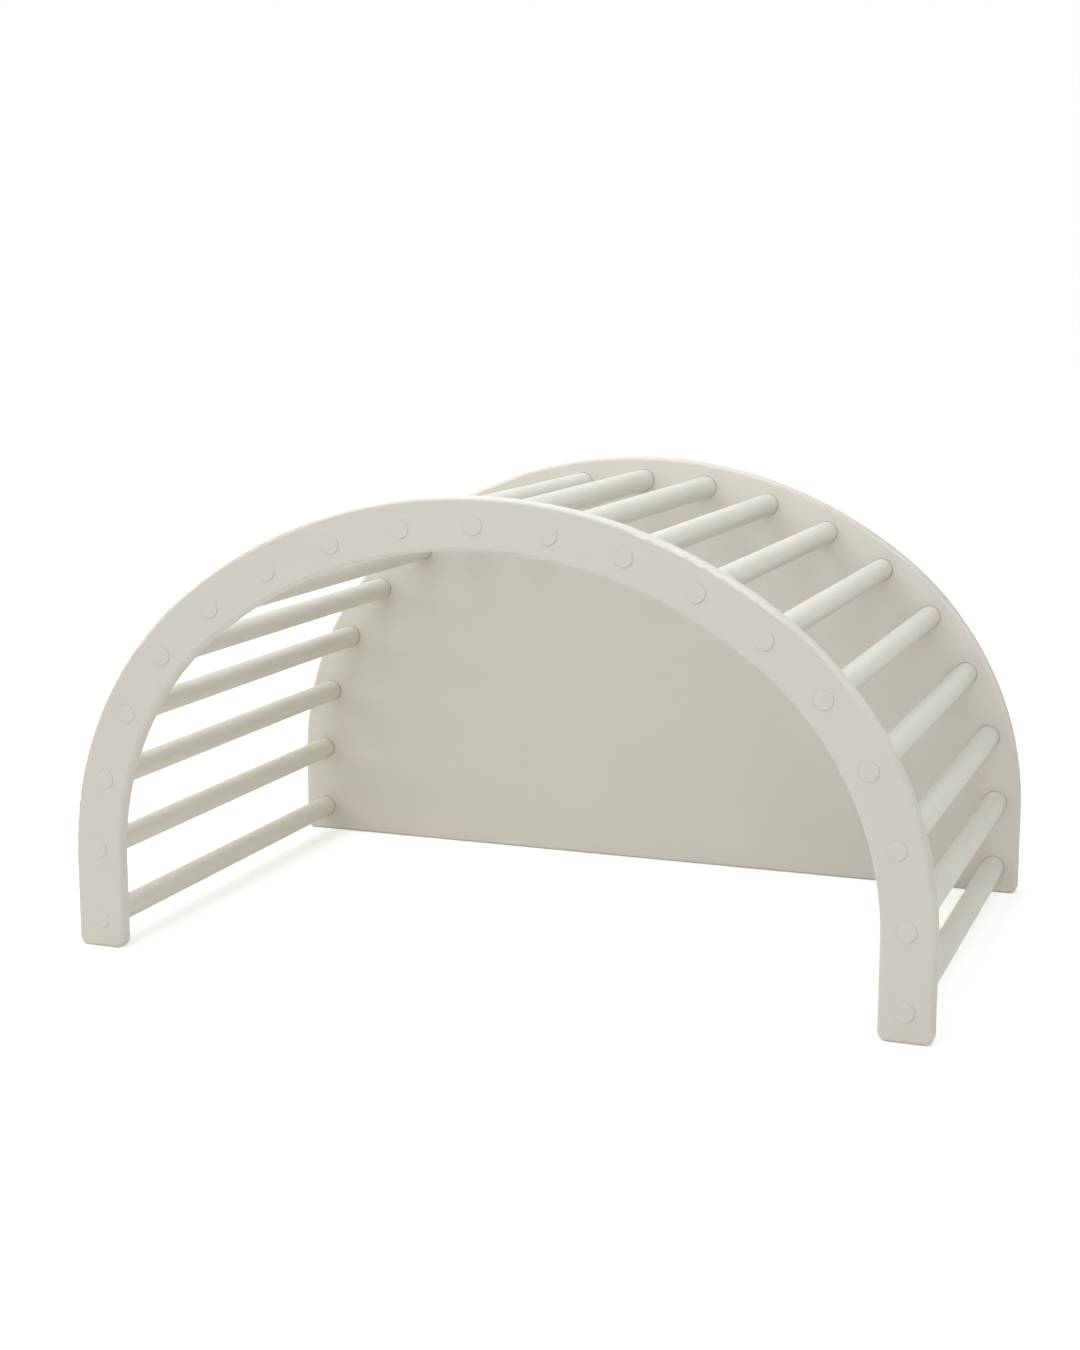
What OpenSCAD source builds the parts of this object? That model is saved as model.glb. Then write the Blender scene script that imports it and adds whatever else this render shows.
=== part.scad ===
// Wooden rocker arch: a free-standing climbing arch, den and rocker for small children.
// An open arch board at the front and a solid board of the same outline at the back are
// joined by a row of round rungs. Each rung sits in a shallow seat in both boards and is
// pulled tight by one screw from outside, whose head is covered by a round wooden plug.
// Turned over, the two curved edges are the rockers.
//
// Frame: X along the length, Y from the front board to the back board, Z up from the floor,
// with the origin on the floor under the middle. Millimetres.

/* [Outline] */
// Overall length, from the outside of one leg to the outside of the other
length = 900; // [780:10:1060]
// Overall width, over the outer faces of the two boards
width = 552; // [440:2:740]
// Height of the straight legs, where the curve starts
spring_h = 96; // [60:2:150]
// Radius of the two tighter curves above the legs
haunch_r = 360; // [280:5:420]
// Depth of the flatter top curve's centre below the start of the curve
crown_drop = 115; // [60:5:180]
// Radius that rounds the boards' lower corners
corner_r = 9; // [6:0.5:20]

/* [Boards] */
// Thickness of each board
board_t = 18; // [16:0.5:24]
// Width of the front board's band
band_w = 52; // [46:1:75]
// Radius of the rounded edges, between each face and the edge
arris_r = 4; // [1:0.5:6]

/* [Rungs] */
// Number of rungs, an odd number so that one is at the top
rung_count = 19; // [13:2:23]
// Diameter of a rung
rung_d = 25; // [20:0.5:32]
// Distance of the row of rungs from the boards' outer edge
rung_inset = 27; // [22:0.5:32]
// Height of the lowest rungs' axes above the floor
foot_rung_h = 30; // [24:1:60]
// Chamfer on a rung's two ends
rung_chamfer = 1; // [0.5:0.1:2]

/* [Rung seats] */
// Depth of the seats that the rungs' ends stand in
seat_depth = 4; // [2:0.5:6]
// Play between a rung and the wall of its seat, all round
seat_clear = 0.3; // [0.1:0.05:0.5]

/* [Screws] */
// Diameter of a screw's shank
screw_d = 6; // [4:0.5:8]
// Length of a screw under its head
screw_len = 50; // [30:5:70]
// Diameter of a screw's head
head_d = 14; // [10:0.5:17]
// Height of a screw's head
head_h = 4; // [2.5:0.5:5.5]
// Width across the flats of the hexagon socket in the head
socket_w = 5; // [3:0.5:6]
// Depth of the hexagon socket
socket_depth = 2.2; // [1:0.1:2.4]
// Play between a shank and its hole in a board, all round
shank_clear = 0.25; // [0.1:0.05:0.6]
// Play between a shank and its drilling in a rung, all round
pilot_clear = 0.05; // [0.02:0.01:0.2]
// Depth of the drilling in a rung beyond the screw's tip
pilot_spare = 3; // [1:0.5:8]

/* [Plugs over the screws] */
// Diameter of a plug
plug_d = 19; // [17.5:0.5:24]
// Play between a plug and its drilling, all round
plug_clear = 0.1; // [0.05:0.05:0.4]
// Depth of the drilling that holds a screw's head and the plug over it
pocket_depth = 8; // [6.5:0.5:10]
// Height by which a plug stands out of the board
plug_proud = 0.8; // [0.2:0.1:2]
// Rounding of a plug's outer edge
plug_round = 0.6; // [0.2:0.1:1.2]

/* [Hidden] */
$fn = 96;

// The outline is a three-centred arch: one top curve, tangent to two haunches, on straight legs.
half_len = length / 2;
haunch_x = half_len - haunch_r;
crown_r = haunch_r + norm([haunch_x, crown_drop]);
crown_y = spring_h - crown_drop;
crown_angle = atan2(haunch_x, crown_drop);
haunch_angle = 90 - crown_angle;

// The boards stand rung_gap apart, half of it on each side of the origin.
rung_gap = width - 2 * board_t;
inner_y = rung_gap / 2;
rung_len = rung_gap + 2 * seat_depth;

// The row of rungs follows the outline, rung_inset inside it, in equal steps.
row_crown_r = crown_r - rung_inset;
row_haunch_r = haunch_r - rung_inset;
row_crown_len = arc_length(row_crown_r, crown_angle);
row_haunch_len = arc_length(row_haunch_r, haunch_angle);
row_half_len = row_crown_len + row_haunch_len + spring_h;
top_rung = (rung_count + 1) / 2;
rung_pitch = (row_half_len - foot_rung_h) / (top_rung - 1);

// What a screw passes through: the board's thickness left between its pocket and the rung's seat.
web_t = board_t - pocket_depth - seat_depth;
pilot_depth = screw_len - web_t + pilot_spare;
plug_t = pocket_depth - head_h + plug_proud;

// A cut runs this far past the face that it opens.
cut = 1;

paint = [0.80, 0.78, 0.75];
inner_paint = [0.75, 0.73, 0.70];
rung_paint = [0.84, 0.83, 0.80];
zinc = [0.72, 0.73, 0.75];

function rung_name(i) = str("rung_", i < 10 ? "0" : "", i);
function arc_length(r, angle) = r * angle * PI / 180;
function arc_angle(r, len) = len / r * 180 / PI;

// The place on a curve of the outline, at an angle from straight up round the curve's centre
function on_curve(centre, r, angle) = centre + r * [sin(angle), cos(angle)];

// The place on the row of rungs at a distance from the top, along the right-hand side
function row_point(s) =
    s <= row_crown_len
        ? on_curve([0, crown_y], row_crown_r, arc_angle(row_crown_r, s))
    : s <= row_crown_len + row_haunch_len
        ? on_curve([haunch_x, spring_h], row_haunch_r,
            crown_angle + arc_angle(row_haunch_r, s - row_crown_len))
    : [half_len - rung_inset, row_half_len - s];

// The axis of rung i: number 1 is in the left foot and the last one in the right foot
function rung_axis(i) =
    let (p = row_point(abs(i - top_rung) * rung_pitch))
    i < top_rung ? [-p.x, p.y] : p;

// ---- Edges of the boards, drawn flat: the inner face at z = 0 and the outer face at z = board_t

// Cross-section of a band with all four edges rounded
module band_section(w) {
    translate([arris_r, 0])
        square([w - 2 * arris_r, board_t]);
    translate([0, arris_r])
        square([w, board_t - 2 * arris_r]);
    for (x = [arris_r, w - arris_r], y = [arris_r, board_t - arris_r])
        translate([x, y])
            circle(r = arris_r);
}

// Cross-section of a board from x = 0 to its edge at x = w, with the two outer edges rounded
module edge_section(w) {
    square([w - arris_r, board_t]);
    translate([0, arris_r])
        square([w, board_t - 2 * arris_r]);
    for (y = [arris_r, board_t - arris_r])
        translate([w - arris_r, y])
            circle(r = arris_r);
}

// Turns a cross-section round the origin, from one angle to another, counted from +X
module turn(from, to) {
    rotate([0, 0, from])
        rotate_extrude(angle = to - from)
            children();
}

// Runs a cross-section straight down, from y = 0 to y = -len
module run_down(len) {
    rotate([90, 0, 0])
        linear_extrude(len)
            children();
}

// The lower edge between two rounded corners, len wide to the left of x = 0 and corner_r high
module lower_edge(len) {
    translate([0, corner_r, 0])
        rotate([90, 0, -90])
            linear_extrude(len)
                edge_section(corner_r);
}

// The rounded lower corner on the right, its centre at the origin
module lower_corner() {
    turn(-90, 0)
        edge_section(corner_r);
}

// Both mirror halves of what is drawn for the right-hand side
module both_sides() {
    children();
    mirror([1, 0, 0])
        children();
}

// ---- Boards, drawn flat

// The right leg of the front board, with its rounded foot
module leg() {
    foot_w = band_w - 2 * corner_r;
    translate([half_len - band_w, spring_h, 0])
        run_down(spring_h - corner_r)
            band_section(band_w);
    translate([half_len - corner_r, 0, 0])
        lower_edge(foot_w);
    translate([half_len - corner_r, corner_r, 0])
        lower_corner();
    translate([half_len - band_w + corner_r, corner_r, 0])
        mirror([1, 0, 0])
            lower_corner();
}

module arch_board() {
    translate([0, crown_y, 0])
        turn(90 - crown_angle, 90 + crown_angle)
            translate([crown_r - band_w, 0])
                band_section(band_w);
    both_sides() {
        translate([haunch_x, spring_h, 0])
            turn(0, haunch_angle)
                translate([haunch_r - band_w, 0])
                    band_section(band_w);
        leg();
    }
}

// The sector under the top curve, cut off level with the start of the curve
module crown_sector() {
    intersection() {
        translate([0, crown_y, 0])
            turn(90 - crown_angle, 90 + crown_angle)
                edge_section(crown_r);
        translate([-half_len, spring_h, 0])
            cube([length, crown_r, board_t]);
    }
}

module panel_board() {
    crown_sector();
    translate([corner_r - half_len, corner_r, 0])
        cube([length - 2 * corner_r, spring_h - corner_r, board_t]);
    translate([half_len - corner_r, 0, 0])
        lower_edge(length - 2 * corner_r);
    both_sides() {
        translate([haunch_x, spring_h, 0])
            turn(0, haunch_angle)
                edge_section(haunch_r);
        translate([half_len - corner_r, spring_h, 0])
            run_down(spring_h - corner_r)
                edge_section(corner_r);
        translate([half_len - corner_r, corner_r, 0])
            lower_corner();
    }
}

// ---- Joints between boards and rungs, drawn on the flat board

// Repeats its children on the axis of every rung
module at_every_rung() {
    for (i = [1:rung_count])
        translate(rung_axis(i))
            children();
}

// What is drilled out of a board for one rung: the rung's seat, the shank's hole and the pocket
module drilling() {
    translate([0, 0, -cut])
        cylinder(d = rung_d + 2 * seat_clear, h = seat_depth + cut);
    cylinder(d = screw_d + 2 * shank_clear, h = board_t);
    translate([0, 0, board_t - pocket_depth])
        cylinder(d = plug_d + 2 * plug_clear, h = pocket_depth + cut);
}

// A screw with its head on the pocket's floor and its shank down the rung
module screw() {
    tip_h = screw_d / 2;
    translate([0, 0, board_t - pocket_depth]) {
        difference() {
            rotate_extrude()
                screw_head_section();
            translate([0, 0, head_h - socket_depth])
                cylinder(d = socket_w / cos(30), h = socket_depth + cut, $fn = 6);
        }
        translate([0, 0, tip_h - screw_len])
            cylinder(d = screw_d, h = screw_len - tip_h);
        translate([0, 0, -screw_len])
            cylinder(d1 = screw_d / 3, d2 = screw_d, h = tip_h);
    }
}

// Half of a pan head: flat on top, with its upper edge rounded
module screw_head_section() {
    head_round = head_h / 2;
    square([head_d / 2, head_h - head_round]);
    square([head_d / 2 - head_round, head_h]);
    translate([head_d / 2 - head_round, head_h - head_round])
        circle(r = head_round);
}

// A plug on a screw's head, standing a little out of the board
module plug() {
    translate([0, 0, board_t - pocket_depth + head_h])
        rotate_extrude()
            plug_section();
}

module plug_section() {
    square([plug_d / 2, plug_t - plug_round]);
    square([plug_d / 2 - plug_round, plug_t]);
    translate([plug_d / 2 - plug_round, plug_t - plug_round])
        circle(r = plug_round);
}

// ---- Places in the standing arch

// Stands a flat board up at the front, its outer face towards -Y
module at_front() {
    translate([0, -inner_y, 0])
        rotate([90, 0, 0])
            children();
}

// Stands a flat board up at the back, its outer face towards +Y
module at_back() {
    mirror([0, 1, 0])
        at_front()
            children();
}

// ---- Sub-parts

// The open arch board
module front_arch() {
    color(paint)
        at_front()
            difference() {
                arch_board();
                at_every_rung()
                    drilling();
            }
}

// The solid board
module back_panel() {
    color(inner_paint)
        at_back()
            difference() {
                panel_board();
                at_every_rung()
                    drilling();
            }
}

// A turned round bar, from the floor of one seat to the floor of the other, drilled for the screws
module rung(i) {
    axis = rung_axis(i);
    color(rung_paint)
        translate([axis.x, 0, axis.y])
            rotate([90, 0, 0])
                difference() {
                    rotate_extrude()
                        rung_section();
                    for (side = [-1, 1])
                        translate([0, 0, side * rung_len / 2])
                            cylinder(d = screw_d + 2 * pilot_clear, h = 2 * pilot_depth, center = true);
                }
}

// Half of a bar cut along its axis, with both ends chamfered
module rung_section() {
    r = rung_d / 2;
    polygon([
        [0, -rung_len / 2],
        [r - rung_chamfer, -rung_len / 2],
        [r, rung_chamfer - rung_len / 2],
        [r, rung_len / 2 - rung_chamfer],
        [r - rung_chamfer, rung_len / 2],
        [0, rung_len / 2]
    ]);
}

module front_screws() {
    color(zinc)
        at_front()
            at_every_rung()
                screw();
}

module back_screws() {
    color(zinc)
        at_back()
            at_every_rung()
                screw();
}

module front_plugs() {
    color(paint)
        at_front()
            at_every_rung()
                plug();
}

module back_plugs() {
    color(inner_paint)
        at_back()
            at_every_rung()
                plug();
}

front_arch();
back_panel();
for (i = [1:rung_count])
    rung(i);
front_screws();
back_screws();
front_plugs();
back_plugs();
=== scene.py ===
import math
import bpy
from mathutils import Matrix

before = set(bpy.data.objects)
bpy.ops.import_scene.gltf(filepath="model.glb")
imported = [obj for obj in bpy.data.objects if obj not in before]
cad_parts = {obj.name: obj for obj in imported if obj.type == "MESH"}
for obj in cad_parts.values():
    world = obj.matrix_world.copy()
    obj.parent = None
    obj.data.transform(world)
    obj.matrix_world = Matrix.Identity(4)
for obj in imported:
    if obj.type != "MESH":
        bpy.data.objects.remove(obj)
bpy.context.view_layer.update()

# ---- Camera
# The view of someone crouching in front of the arch, right of its middle, who looks a little down
# and back to the left, so that the den and the row of rungs over it both show.
camera_place = (0.755, -2.120, 0.675)
camera_turn = math.radians(20.42)
camera_tilt = math.radians(10.20)
camera_lens = 56.4
camera_nearest = 0.05

bpy.ops.object.camera_add(
    location=camera_place, rotation=(math.pi / 2 - camera_tilt, 0, camera_turn)
)
camera = bpy.context.object
camera.name = "camera"
camera.data.lens = camera_lens
camera.data.clip_start = camera_nearest
bpy.context.scene.camera = camera

# ---- Floor
# A wide matt white studio floor, on which the arch throws its soft shadow. It is lifted to plain
# white for the eye and for reflections only, more so far out, where the lamps no longer reach.
floor_radius = 14.0
floor_corners = 160
floor_white_paint = (0.875, 0.860, 0.830, 1)
floor_near = 0.7             # metres from the middle
floor_far = 3.2
floor_lift_near = 0.34       # 1 is plain white
floor_lift_far = 1.0


def reckoned(tree, operation, *values):
    """The result of one sum on the values."""
    working = tree.nodes.new("ShaderNodeMath")
    working.operation = operation
    for value, socket in zip(values, working.inputs):
        tree.links.new(value, socket)
    return working.outputs["Value"]


def ramp(tree, value, start, end, low, high, style="LINEAR"):
    """A number that runs from low to high while the value goes from start to end."""
    slope = tree.nodes.new("ShaderNodeMapRange")
    slope.interpolation_type = style
    slope.inputs["From Min"].default_value = start
    slope.inputs["From Max"].default_value = end
    slope.inputs["To Min"].default_value = low
    slope.inputs["To Max"].default_value = high
    tree.links.new(value, slope.inputs["Value"])
    return slope.outputs["Result"]


def seen_plainly(tree):
    """1 for what is seen directly, in a reflection or through glass, and 0 for what only lights."""
    ray = tree.nodes.new("ShaderNodeLightPath").outputs
    mirrored = reckoned(tree, "MAXIMUM", ray["Is Glossy Ray"], ray["Is Transmission Ray"])
    return reckoned(tree, "MAXIMUM", ray["Is Camera Ray"], mirrored)


bpy.ops.mesh.primitive_circle_add(vertices=floor_corners, radius=floor_radius, fill_type="NGON")
floor = bpy.context.object
floor.name = "floor"

floor_white = bpy.data.materials.new("floor_white")
floor_white.use_nodes = True
tree = floor_white.node_tree
tree.nodes.clear()
matt = tree.nodes.new("ShaderNodeBsdfDiffuse")
matt.inputs["Color"].default_value = floor_white_paint
place = tree.nodes.new("ShaderNodeTexCoord").outputs["Object"]
distance = tree.nodes.new("ShaderNodeVectorMath")
distance.operation = "LENGTH"
tree.links.new(place, distance.inputs[0])
lift = ramp(
    tree, distance.outputs["Value"], floor_near, floor_far, floor_lift_near, floor_lift_far, "SMOOTHSTEP"
)
glow = tree.nodes.new("ShaderNodeEmission")
tree.links.new(reckoned(tree, "MULTIPLY", seen_plainly(tree), lift), glow.inputs["Strength"])
lit = tree.nodes.new("ShaderNodeAddShader")
tree.links.new(matt.outputs["BSDF"], lit.inputs[0])
tree.links.new(glow.outputs["Emission"], lit.inputs[1])
surface = tree.nodes.new("ShaderNodeOutputMaterial")
tree.links.new(lit.outputs["Shader"], surface.inputs["Surface"])
floor.data.materials.append(floor_white)

# ---- Surround
# White paper all round. The eye and the reflections see it plain white, and as a light it is
# only a low, even fill.
surround_white = 1.0
surround_light = 0.33

surround = bpy.data.worlds.new("surround")
surround.use_nodes = True
tree = surround.node_tree
tree.nodes.clear()
paper = tree.nodes.new("ShaderNodeBackground")
paper.inputs["Color"].default_value = (1, 1, 1, 1)
strength = ramp(tree, seen_plainly(tree), 0, 1, surround_light, surround_white)
tree.links.new(strength, paper.inputs["Strength"])
around = tree.nodes.new("ShaderNodeOutputWorld")
tree.links.new(paper.outputs["Background"], around.inputs["Surface"])
bpy.context.scene.world = surround
bpy.context.scene.view_settings.view_transform = "Standard"

# ---- Softboxes
# Softboxes hung close over the arch and farther off in front of it, all turned towards its middle,
# and a low one that lights the solid board from behind.
softbox_target = (0.0, 0.0, 0.25)
overhead_tone = (0.965, 1.0, 1.09)


def softbox(name, place, width, height, watts, tone=(1, 1, 1)):
    """Hangs a softbox at a place and turns its face to the middle of the arch."""
    box = bpy.data.lights.new(name, "AREA")
    box.color = tone
    box.shape = "RECTANGLE"
    box.size = width
    box.size_y = height
    box.energy = watts
    lamp = bpy.data.objects.new(name, box)
    bpy.context.scene.collection.objects.link(lamp)
    lamp.location = place
    dx, dy, dz = (t - p for t, p in zip(softbox_target, place))
    lamp.rotation_euler = (math.atan2(math.hypot(dx, dy), -dz), 0, math.atan2(-dx, dy))


softbox("over_front", (0.1, -1.1, 1.3), 1.2, 0.5, 2.0, overhead_tone)
softbox("over_middle", (-0.5, -0.4, 1.7), 1.2, 1.0, 8.0, overhead_tone)
softbox("over_right", (0.9, -0.4, 1.7), 1.2, 1.0, 7.5, overhead_tone)
softbox("over_back", (0.4, 0.35, 1.8), 1.2, 1.0, 3.5, overhead_tone)
softbox("far_left", (-1.8, 0.0, 2.4), 1.6, 1.6, 26.0, overhead_tone)
softbox("far_right", (2.4, -0.2, 1.6), 1.6, 1.6, 4.0, overhead_tone)
softbox("front_left", (-2.9, -1.8, 1.5), 2.0, 2.0, 22.0)
softbox("front_right", (1.6, -2.8, 1.0), 1.6, 1.6, 13.5)
softbox("behind_low", (0.0, 2.4, 0.22), 0.8, 0.36, 12.0)

# ---- Boards
# The open front arch and the solid back board, sawn to one outline from 18 mm board, their edges
# rounded over with a router, then sanded, primed and sprayed with a satin warm off-white.
board_colour = (0.668, 0.639, 0.553)
board_mottle = 0.012         # share of the colour, lighter and darker
board_mottle_scale = 9       # blobs per metre, as every scale from here on
board_roughness = (0.55, 0.65)
board_roughness_scale = 30
board_wave_scale = 45
board_wave_depth = 0.00003   # metres
board_peel_scale = 520
board_peel_depth = 0.00002
board_gloss = 0.12
cloud_middle = (0.3, 0.7)    # between these lies nearly all of a soft random pattern


def tint(colour, share, warmth=0.0):
    """The same paint a share lighter or darker, and warmer or cooler."""
    red, green, blue = (c * (1 + share) for c in colour)
    return (red * (1 + warmth), green, blue * (1 - 2 * warmth), 1)


def start_finish(name):
    """A new material with its node tree, shader and object coordinates."""
    material = bpy.data.materials.new(name)
    material.use_nodes = True
    tree = material.node_tree
    shader = tree.nodes["Principled BSDF"]
    place = tree.nodes.new("ShaderNodeTexCoord").outputs["Object"]
    return material, tree, shader, place


def stretched(tree, place, stretch):
    """Coordinates drawn out along the grain."""
    mapping = tree.nodes.new("ShaderNodeMapping")
    mapping.inputs["Scale"].default_value = stretch
    tree.links.new(place, mapping.inputs["Vector"])
    return mapping.outputs["Vector"]


def cloud(tree, place, scale, detail=2.0, roughness=0.5):
    """A soft random pattern, as a number from 0 to 1."""
    noise = tree.nodes.new("ShaderNodeTexNoise")
    noise.inputs["Scale"].default_value = scale
    noise.inputs["Detail"].default_value = detail
    noise.inputs["Roughness"].default_value = roughness
    tree.links.new(place, noise.inputs["Vector"])
    return noise.outputs["Fac"]


def spread(tree, value, low, high):
    """The middle of a pattern drawn out to run from low to high."""
    return ramp(tree, value, *cloud_middle, low, high)


def between(tree, value, dark, light):
    """A colour between two tints of the paint."""
    mix = tree.nodes.new("ShaderNodeMix")
    mix.data_type = "RGBA"
    mix.inputs["A"].default_value = dark
    mix.inputs["B"].default_value = light
    tree.links.new(value, mix.inputs["Factor"])
    return mix.outputs["Result"]


def relief(tree, value, depth, under=None):
    """A bump of a depth in metres, laid over another one."""
    bump = tree.nodes.new("ShaderNodeBump")
    bump.inputs["Strength"].default_value = 1.0
    bump.inputs["Distance"].default_value = depth
    tree.links.new(value, bump.inputs["Height"])
    if under is not None:
        tree.links.new(under, bump.inputs["Normal"])
    return bump.outputs["Normal"]


def lay_on(names, material, tree, shader, tone, sheen, bumps=None):
    """Gives a finish its colour, sheen and bumps, and lays it on the solids of these names."""
    tree.links.new(tone, shader.inputs["Base Color"])
    tree.links.new(sheen, shader.inputs["Roughness"])
    if bumps is not None:
        tree.links.new(bumps, shader.inputs["Normal"])
    for name in names:
        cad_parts[name].material_slots[0].material = material


board_paint, tree, shader, place = start_finish("board_paint")
mottle = spread(tree, cloud(tree, place, board_mottle_scale, detail=3.0), 0, 1)
tone = between(tree, mottle, tint(board_colour, -board_mottle), tint(board_colour, board_mottle))
sheen = spread(tree, cloud(tree, place, board_roughness_scale, detail=4.0), *board_roughness)
waves = relief(tree, cloud(tree, place, board_wave_scale), board_wave_depth)
peel = relief(tree, cloud(tree, place, board_peel_scale), board_peel_depth, waves)
shader.inputs["Specular IOR Level"].default_value = board_gloss
lay_on(("front_arch", "back_panel"), board_paint, tree, shader, tone, sheen, peel)

# ---- Rungs
# Nineteen turned wooden bars, their ends let into the two boards. They have the same paint in
# thinner coats, so the lengthwise grain shows. At each board the paint ends in a fine dark line: the
# open joint, with the shade in its narrow gap painted into the colour.
rung_colour = (0.678, 0.657, 0.568)
rung_band_dark = tint(rung_colour, -0.026, 0.006)
rung_band_light = tint(rung_colour, 0.014, -0.004)
rung_band_scale = 70
rung_band_stretch = (1, 0.12, 1)
rung_fibre_shade = (0.965, 0.960, 0.950, 1)
rung_fibre_scale = 300
rung_fibre_stretch = (1, 0.02, 1)
rung_fibre_depth = 0.00003
rung_joint_start = 0.2568    # metres from the middle of the rung
rung_joint_end = 0.2574
# colour of the painted shade in the gap where each rung enters a board
rung_joint_painted_shade = (0.62, 0.58, 0.52, 1)
rung_roughness = (0.40, 0.52)
rung_gloss = 0.35
no_shade = (1, 1, 1, 1)


def coated(tree, colour, glaze):
    """A colour seen through a thin glaze."""
    mix = tree.nodes.new("ShaderNodeMix")
    mix.data_type = "RGBA"
    mix.blend_type = "MULTIPLY"
    mix.inputs["Factor"].default_value = 1.0
    tree.links.new(colour, mix.inputs["A"])
    tree.links.new(glaze, mix.inputs["B"])
    return mix.outputs["Result"]


rung_paint, tree, shader, place = start_finish("rung_paint")
bands = cloud(tree, stretched(tree, place, rung_band_stretch), rung_band_scale)
broad = between(tree, spread(tree, bands, 0, 1), rung_band_dark, rung_band_light)
fibres = cloud(
    tree, stretched(tree, place, rung_fibre_stretch), rung_fibre_scale, detail=3.0, roughness=0.6
)
fine = between(tree, spread(tree, fibres, 0, 1), rung_fibre_shade, no_shade)
axes = tree.nodes.new("ShaderNodeSeparateXYZ")
tree.links.new(place, axes.inputs["Vector"])
from_middle = reckoned(tree, "ABSOLUTE", axes.outputs["Y"])
# painted shade: the last fraction of a millimetre of each rung, at the joint with a board, is darkened
joint_shade_mask = ramp(tree, from_middle, rung_joint_start, rung_joint_end, 0, 1)
joint_shade_tint = between(tree, joint_shade_mask, no_shade, rung_joint_painted_shade)
tone = coated(tree, coated(tree, broad, fine), joint_shade_tint)
sheen = spread(tree, fibres, *rung_roughness)
grain = relief(tree, fibres, rung_fibre_depth)
shader.inputs["Specular IOR Level"].default_value = rung_gloss
rungs = [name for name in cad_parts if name.startswith("rung_")]
lay_on(rungs, rung_paint, tree, shader, tone, sheen, grain)

# ---- Screws
# Pan-head screws of zinc-plated steel, one into each end of every rung. The plugs hide them.
zinc_colour = (0.72, 0.73, 0.75)
zinc_spangle = 0.06
zinc_spangle_scale = 900
zinc_roughness = (0.28, 0.42)

zinc, tree, shader, place = start_finish("zinc")
spangle = cloud(tree, place, zinc_spangle_scale)
tone = between(tree, spangle, tint(zinc_colour, -zinc_spangle), tint(zinc_colour, zinc_spangle))
sheen = spread(tree, spangle, *zinc_roughness)
shader.inputs["Metallic"].default_value = 1.0
lay_on(("front_screws", "back_screws"), zinc, tree, shader, tone, sheen)

# ---- Plugs
# Round wooden plugs pressed over the screws' heads and painted with the boards. They are cut
# from solid wood, whose grain shows in the paint as short, fine, upright ripples.
plug_dark = tint(board_colour, -0.014)
plug_light = tint(board_colour, 0.010)
plug_ripple_scale = 700
plug_ripple_stretch = (1, 1, 0.2)
plug_ripple_depth = 0.00003
plug_roughness = (0.57, 0.68)
plug_gloss = 0.12

plug_paint, tree, shader, place = start_finish("plug_paint")
ripples = cloud(
    tree, stretched(tree, place, plug_ripple_stretch), plug_ripple_scale, detail=3.0, roughness=0.6
)
tone = between(tree, spread(tree, ripples, 0, 1), plug_dark, plug_light)
sheen = spread(tree, ripples, *plug_roughness)
face = relief(tree, ripples, plug_ripple_depth)
shader.inputs["Specular IOR Level"].default_value = plug_gloss
lay_on(("front_plugs", "back_plugs"), plug_paint, tree, shader, tone, sheen, face)
